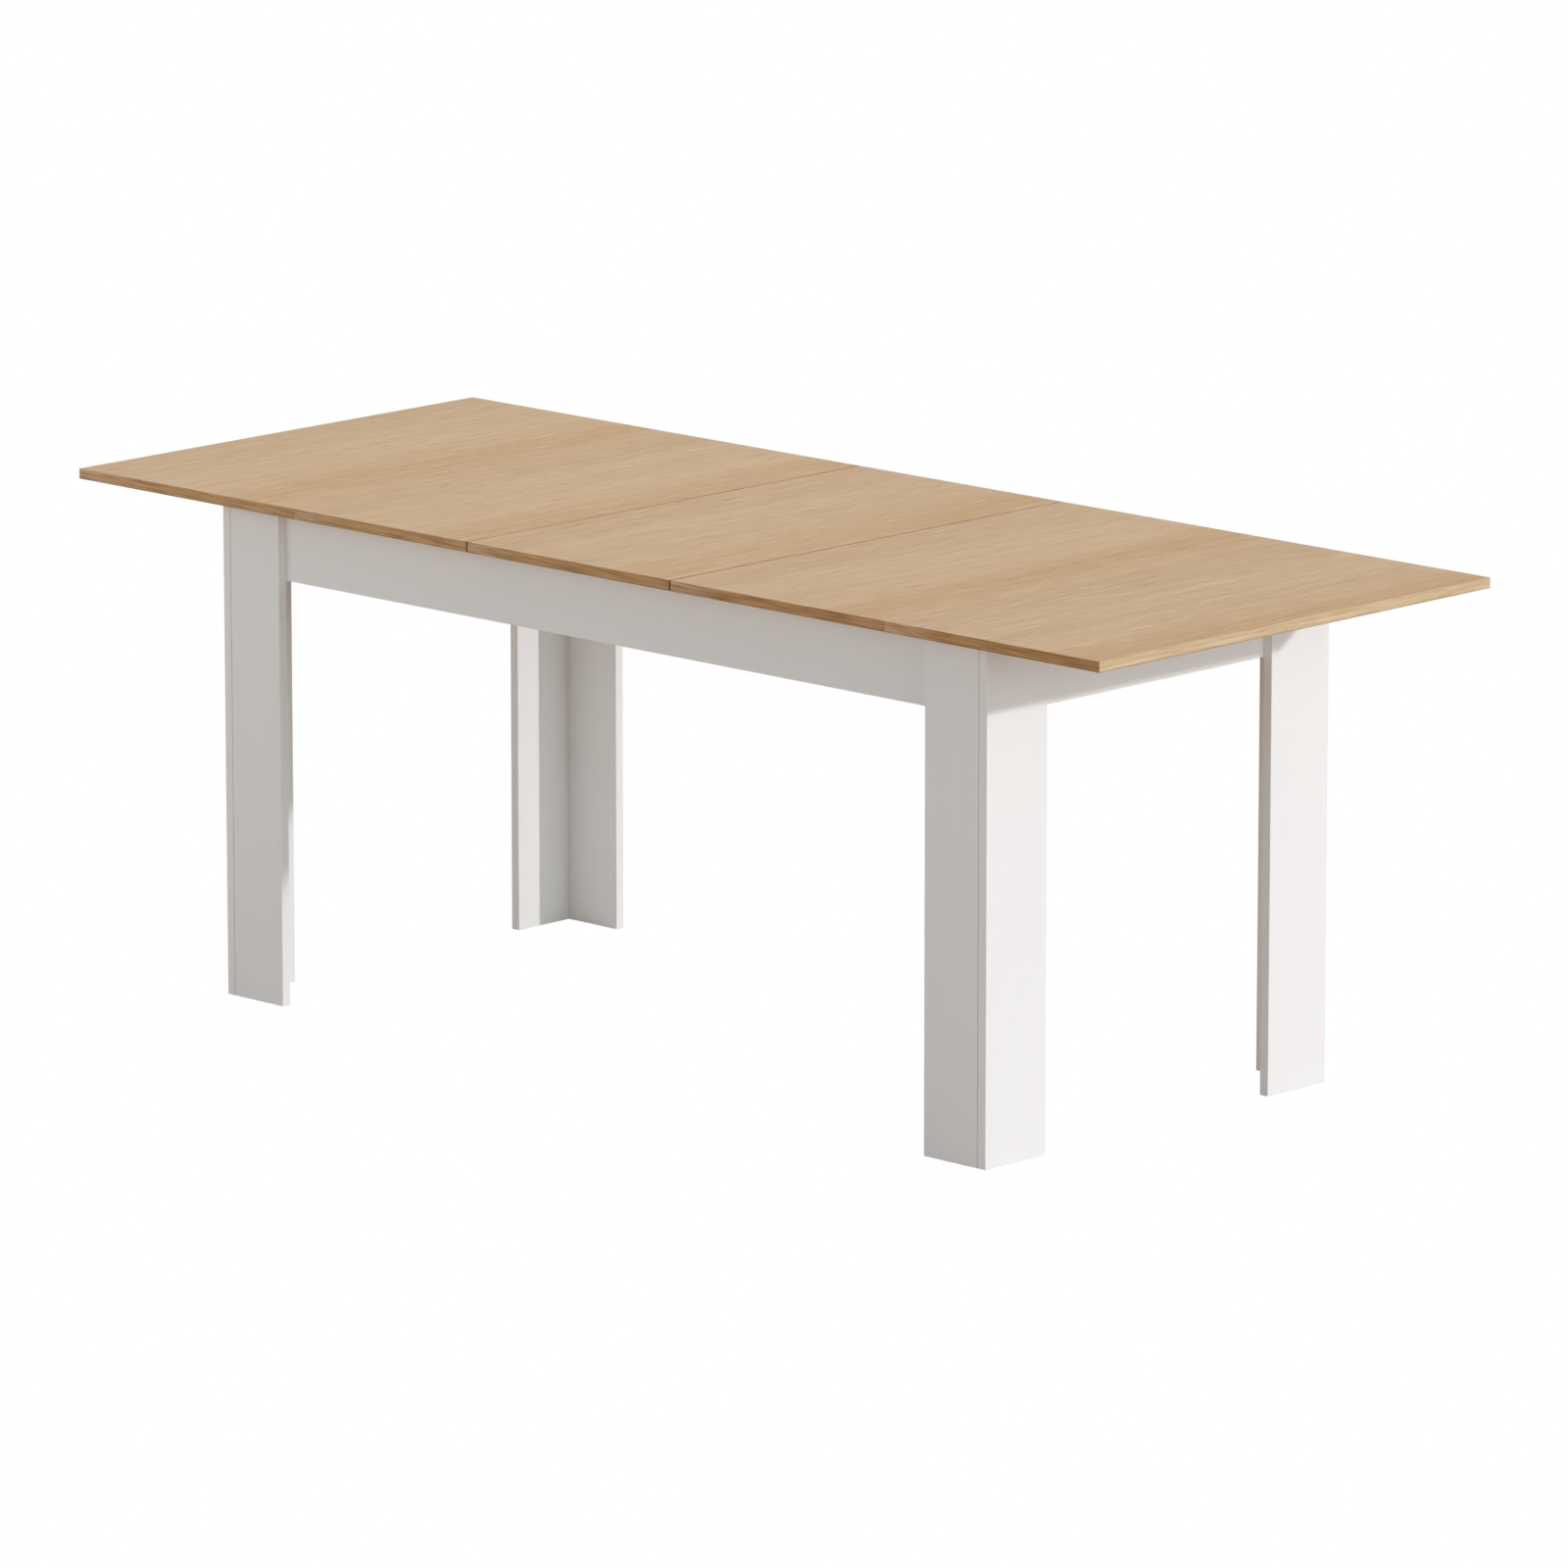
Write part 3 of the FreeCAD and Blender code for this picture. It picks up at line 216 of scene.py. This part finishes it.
# The lower arris of the bands gets painted shade: fully below the first height, and not above the second.
BAND_SHADE_FULL = 0.7355
BAND_SHADE_GONE = 0.7370
BAND_SHADE = 0.45
# The faces of a seam stand between these distances from the middle, and get painted shade below this height.
SEAM_INNER = 0.1979
SEAM_OUTER = 0.2006
SEAM_LIP = 0.7498

# Where the two boards of each leg meet, a thin line of painted shade stands in for the shade in their groove:
# its distance along X, where the side face begins in Y, and the half width of its full and its faded part.
LEG_JOINT = 0.735
LEG_SIDE = 0.3488
JOINT_SHADE_HALF = 0.4 * MM
JOINT_SHADE_FADE = 0.7 * MM


def grain(shader, across, along, colour, seed, flecks, contrast):
    """Lay fine grain over a colour: growth lines of the contrast, pale flecks, dark streaks and pores."""
    bend = shader.noise(shader.vector(shader.times(across, 3.0), shader.times(along, 2.2), seed))
    bent = shader.plus(across, shader.times(bend, 0.020))

    def layer(place, kind, detail, roughness=0.5):
        wide, long, offset = kind
        spot = shader.vector(shader.times(place, wide), shader.times(along, long), seed + offset)
        return shader.noise(spot, detail=detail, roughness=roughness)

    lines = shader.remap(layer(bent, GROWTH_LINES, 4.0, 0.65), 0.34, 0.66)
    colour = shader.mix(shader.times(lines, contrast), colour, LINE_TINT, "MULTIPLY")
    fleck = shader.remap(layer(bent, PALE_FLECKS, 2.0), 0.54, 0.72, 0.0, flecks)
    colour = shader.mix(fleck, colour, OAK_FLECK)
    dark = shader.remap(layer(bent, DARK_STREAKS, 2.0), 0.54, 0.74, 0.0, 0.44)
    colour = shader.mix(dark, colour, OAK_PORE)
    pore = shader.remap(layer(across, PORES, 1.0), 0.66, 0.80, 0.0, 0.30)
    colour = shader.mix(pore, colour, OAK_PORE)
    height = shader.minus(1.0, shader.plus(pore, shader.times(dark, 0.5)))
    rough = shader.plus(OAK_ROUGH, shader.times(dark, 0.25))
    return colour, rough, height


def oak_board(name, seed, start):
    """Satin oak laminate whose grain runs across the table; its print starts at the board's left edge."""
    shader = Shader(name)
    x, y, _ = shader.position()

    def cloud(per_x, per_y, offset):
        return shader.noise(shader.vector(shader.times(x, per_x), shader.times(y, per_y), seed + offset))

    shift = shader.times(shader.minus(cloud(2.0, 1.6, 9.0), 0.5), PRINT_WANDER)
    place = shader.math("DIVIDE", shader.plus(shader.minus(x, start), shift), PRINT_REPEAT)
    gold = shader.between(shader.math("FRACT", place), *GOLD_STRIPE)
    gold = shader.times(gold, shader.remap(cloud(9.0, 2.8, 4.0), 0.30, 0.52, 0.45, 1.0))
    pink = shader.between(shader.math("FRACT", shader.plus(place, PINK_LEAD)), *PINK_STRIPE)
    colour = shader.mix(pink, OAK_PALE, OAK_PINK)
    colour = shader.mix(shader.remap(cloud(12.0, 1.4, 6.0), 0.40, 0.66, 0.0, 0.6), colour, OAK_PINK)
    colour = shader.mix(gold, colour, OAK_GOLD)
    colour, rough, height = grain(shader, x, y, colour, seed, 0.44, 0.52)
    return shader.surface(colour=colour, rough=rough, normal=shader.bump(height, OAK_RELIEF), specular=0.35)


def oak_band(name, seed, start, restart):
    """Oak edge bands: browner along the sides, pale at the ends, with painted shade in the seams and on the
    lower arris.
    """
    shader = Shader(name)
    x, y, z = shader.position()
    reach = shader.unsigned(x)
    second = shader.times(shader.math("GREATER_THAN", x, restart), restart - start)
    run = shader.minus(shader.minus(x, start), second)
    patch = shader.noise(shader.vector(shader.times(x, 14.0), second, shader.times(z, 60.0)))
    ripe = shader.remap(shader.plus(run, shader.times(patch, 0.10)), *BAND_PALE_RUN)
    side = shader.mix(shader.remap(x, *BAND_TURN), BAND_LIGHT, BAND_BROWN)
    side = shader.mix(ripe, BAND_PALE, side)
    end = shader.math("GREATER_THAN", reach, BAND_END_FACE)
    colour = shader.mix(end, side, BAND_END)
    # On each strip one of X and Y is constant, so their sum runs along every strip.
    along = shader.plus(x, y)
    across = shader.times(shader.plus(z, shader.times(second, BAND_SHIFT)), BAND_GRAIN)
    colour, rough, height = grain(shader, across, along, colour, seed, 0.12, 0.85)
    climb = shader.plus(shader.times(z, STREAK_UP), shader.times(along, STREAK_CLIMB))
    streak = shader.noise(shader.vector(climb, shader.times(along, STREAK_ALONG), second))
    depth = shader.remap(end, 0.0, 1.0, STREAK_ON_SIDE, STREAK_ON_END)
    streak = shader.times(shader.remap(streak, 0.42, 0.64), depth)
    colour = shader.mix(streak, colour, BAND_STREAK, "MULTIPLY")
    # Painted shade along the bands' lower arris.
    shade = shader.remap(z, BAND_SHADE_FULL, BAND_SHADE_GONE, BAND_SHADE, 0.0)
    colour = shader.mix(shade, colour, BAND_PAINTED_SHADE)
    # Painted shade on the seam faces below the lip, in place of the shade in the gap between boards.
    seam = shader.times(shader.math("GREATER_THAN", reach, SEAM_INNER),
                        shader.math("LESS_THAN", reach, SEAM_OUTER))
    colour = shader.mix(shader.times(seam, shader.math("LESS_THAN", z, SEAM_LIP)), colour, BAND_PAINTED_SHADE)
    return shader.surface(colour=colour, rough=rough, normal=shader.bump(height, OAK_RELIEF), specular=0.3)


def white_board(name):
    """Matt white melamine with a faint orange peel, a slightly uneven tone and painted shade along the legs'
    joints.
    """
    shader = Shader(name)
    x, y, z = shader.position()
    place = shader.vector(x, y, z)
    tone = shader.noise(place, scale=4.0, detail=3.0)
    colour = shader.mix(tone, rgb(0.868, 0.858, 0.848), rgb(0.886, 0.878, 0.868))
    # A thin line of painted shade where the two boards of each leg meet.
    from_joint = shader.unsigned(shader.minus(shader.unsigned(x), LEG_JOINT))
    on_side = shader.math("GREATER_THAN", shader.unsigned(y), LEG_SIDE)
    painted_joint_shade = shader.times(on_side, shader.remap(from_joint, JOINT_SHADE_HALF, JOINT_SHADE_FADE, 0.75, 0.0))
    colour = shader.mix(painted_joint_shade, colour, rgb(0.36, 0.35, 0.34))
    peel = shader.noise(place, scale=900.0)
    rough = shader.remap(shader.noise(place, scale=35.0), 0.3, 0.7, 0.44, 0.50)
    return shader.surface(colour=colour, rough=rough, normal=shader.bump(peel, 0.02 * MM, 0.5), specular=0.4)


def steel(name, tint, rough_low, rough_high, drawn):
    """Zinc-plated steel with drawn lines along X, so many per metre, and soft cloudy spangle."""
    shader = Shader(name)
    x, y, z = shader.position()
    lines = shader.noise(shader.vector(shader.times(x, 6.0), shader.times(y, drawn), shader.times(z, drawn)),
                         detail=3.0)
    cloud = shader.noise(shader.vector(x, y, z), scale=60.0, detail=3.0)
    dull = tuple(part * 0.82 for part in tint[:3]) + (1.0,)
    colour = shader.mix(shader.remap(cloud, 0.35, 0.65), tint, dull)
    rough = shader.remap(lines, 0.3, 0.7, rough_low, rough_high)
    return shader.surface(colour=colour, metal=1.0, rough=rough, normal=shader.bump(lines, 0.02 * MM))


def beech(name):
    """Sanded beech with fine flecks along Y."""
    shader = Shader(name)
    x, y, z = shader.position()

    def layer(across, along, detail):
        spot = shader.vector(shader.times(x, across), shader.times(y, along), shader.times(z, across))
        return shader.noise(spot, detail=detail)

    lines = layer(160.0, 5.0, 4.0)
    fleck = layer(700.0, 180.0, 1.0)
    colour = shader.mix(shader.remap(lines, 0.3, 0.7), rgb(0.66, 0.46, 0.28), rgb(0.54, 0.35, 0.19))
    colour = shader.mix(shader.remap(fleck, 0.62, 0.75, 0.0, 0.45), colour, rgb(0.36, 0.21, 0.11))
    return shader.surface(colour=colour, rough=0.62, normal=shader.bump(lines, 0.08 * MM))


def felt(name):
    """White pressed felt."""
    shader = Shader(name)
    fibres = shader.noise(shader.vector(*shader.position()), scale=1400.0, detail=4.0, roughness=0.7)
    colour = shader.mix(fibres, rgb(0.60, 0.59, 0.57), rgb(0.80, 0.79, 0.77))
    return shader.surface(colour=colour, rough=0.95, normal=shader.bump(fibres, 0.3 * MM), specular=0.1)


def rubber(name):
    """Black moulded rubber with a fine matt texture."""
    shader = Shader(name)
    speckle = shader.noise(shader.vector(*shader.position()), scale=900.0, detail=3.0)
    colour = shader.mix(speckle, rgb(0.012, 0.012, 0.012), rgb(0.035, 0.034, 0.033))
    rough = shader.remap(speckle, 0.3, 0.7, 0.62, 0.80)
    return shader.surface(colour=colour, rough=rough, normal=shader.bump(speckle, 0.05 * MM))


# --- which node gets which material -----------------------------------------------------------------------
def dress(nodes, material):
    """Give CAD nodes one material."""
    for name in nodes:
        slots = NODES[name].data.materials
        slots.clear()
        slots.append(material)


def nodes_of(slot):
    """Names of the nodes that the record gives one material slot."""
    return [part["node"] for part in frame["record"]["subparts"] if part["material_slot"] == slot]


# Each top board: its nodes, a seed for its grain, its left edge, and where its bands' print starts again.
NOWHERE = 9.0
TOP_BOARDS = (
    ("top_panel_left", "edge_bands_left", 1.7, -1.0, -0.548),
    ("leaf_panel", "edge_bands_leaf", 23.4, -0.1985, NOWHERE),
    ("top_panel_right", "edge_bands_right", 41.9, 0.2, 0.607),
)
for panel, bands, seed, start, restart in TOP_BOARDS:
    dress([panel], oak_board(f"oak_{panel}", seed, start))
    dress([bands], oak_band(f"oak_{bands}", seed + 0.5, start, restart))
dress(nodes_of("white_board"), white_board("white_melamine"))
dress(nodes_of("runner_steel"), steel("runner_steel", rgb(0.60, 0.61, 0.63), 0.26, 0.42, 900.0))
dress(nodes_of("zinc_steel"), steel("zinc_steel", rgb(0.56, 0.57, 0.58), 0.34, 0.50, 600.0))
dress(nodes_of("beech"), beech("beech"))
dress(nodes_of("felt"), felt("felt"))
dress(nodes_of("rubber"), rubber("rubber"))


# --- studio -----------------------------------------------------------------------------------------------
def direction(azimuth, elevation):
    """Unit vector at an azimuth from +X towards +Y and an elevation above the floor."""
    return Vector((math.cos(azimuth) * math.cos(elevation), math.sin(azimuth) * math.cos(elevation),
                   math.sin(elevation)))


def point_at(item, way):
    """Turn a lamp or camera so that it looks along way."""
    item.rotation_euler = way.to_track_quat("-Z", "Y").to_euler()


def add_floor():
    """A pale floor that the camera sees as plain white, and that sends a dimmer, warmer light upwards."""
    half = FLOOR_SIZE / 2
    mesh = bpy.data.meshes.new("floor")
    mesh.from_pydata([(-half, -half, -FLOOR_DROP), (half, -half, -FLOOR_DROP), (half, half, -FLOOR_DROP),
                      (-half, half, -FLOOR_DROP)], [], [(0, 1, 2, 3)])
    floor = bpy.data.objects.new("floor", mesh)
    bpy.context.scene.collection.objects.link(floor)
    shader = Shader("floor")
    matt = shader.node("ShaderNodeBsdfDiffuse", {"Color": FLOOR_BOUNCE}).outputs[0]
    white = shader.node("ShaderNodeEmission", {"Color": FLOOR_WHITE}).outputs[0]
    seen = shader.node("ShaderNodeLightPath").outputs["Is Camera Ray"]
    blend = shader.node("ShaderNodeMixShader", {0: seen, 1: matt, 2: white}).outputs[0]
    shader.tree.links.new(blend, shader.output.inputs[0])
    mesh.materials.append(shader.material)


def add_key_light():
    """The key light, kept out of reflections so that the satin top doesn't glare against the light."""
    lamp = bpy.data.lights.new("key", "SUN")
    lamp.energy = KEY_STRENGTH
    lamp.angle = KEY_SIZE
    lamp.color = KEY_COLOUR
    item = bpy.data.objects.new("key", lamp)
    item.visible_glossy = False
    point_at(item, -direction(KEY_AZIMUTH, KEY_ELEVATION))
    bpy.context.scene.collection.objects.link(item)


def add_sky():
    """An even sky with soft lobes."""
    world = bpy.data.worlds.new("studio")
    world.use_nodes = True
    tree = world.node_tree
    background = tree.nodes["Background"]
    way = tree.nodes.new("ShaderNodeTexCoord").outputs["Generated"]
    total = None
    for axis, tightness, colour in SKY_LOBES:
        facing = tree.nodes.new("ShaderNodeVectorMath")
        facing.operation = "DOT_PRODUCT"
        tree.links.new(way, facing.inputs[0])
        facing.inputs[1].default_value = axis
        front = tree.nodes.new("ShaderNodeMath")
        front.operation = "MAXIMUM"
        tree.links.new(facing.outputs["Value"], front.inputs[0])
        front.inputs[1].default_value = 0.0
        lobe = tree.nodes.new("ShaderNodeMath")
        lobe.operation = "POWER"
        tree.links.new(front.outputs[0], lobe.inputs[0])
        lobe.inputs[1].default_value = tightness
        light = tree.nodes.new("ShaderNodeVectorMath")
        light.operation = "MULTIPLY_ADD"
        tree.links.new(lobe.outputs[0], light.inputs[0])
        light.inputs[1].default_value = colour
        if total is None:
            light.inputs[2].default_value = SKY_EVEN
        else:
            tree.links.new(total, light.inputs[2])
        total = light.outputs[0]
    tree.links.new(total, background.inputs["Color"])
    bpy.context.scene.world = world


def add_fill_light():
    """A weak square light from the front left."""
    lamp = bpy.data.lights.new("fill", "AREA")
    lamp.shape = "SQUARE"
    lamp.size = FILL_SIZE
    lamp.energy = FILL_POWER
    lamp.color = FILL_COLOUR
    item = bpy.data.objects.new("fill", lamp)
    item.location = FILL_PLACE
    point_at(item, FILL_AIM - FILL_PLACE)
    bpy.context.scene.collection.objects.link(item)


def add_camera():
    """A long lens that looks at the aim from its azimuth and elevation."""
    camera = bpy.data.cameras.new("camera")
    camera.lens = CAMERA_LENS
    camera.clip_end = 200.0
    item = bpy.data.objects.new("camera", camera)
    way = Vector((-math.sin(CAMERA_AZIMUTH) * math.cos(CAMERA_ELEVATION),
                  math.cos(CAMERA_AZIMUTH) * math.cos(CAMERA_ELEVATION), -math.sin(CAMERA_ELEVATION)))
    item.location = CAMERA_AIM - way * CAMERA_DISTANCE
    point_at(item, way)
    bpy.context.scene.collection.objects.link(item)
    bpy.context.scene.camera = item


add_floor()
add_key_light()
add_sky()
add_fill_light()
add_camera()
bpy.context.scene.view_settings.view_transform = "Standard"
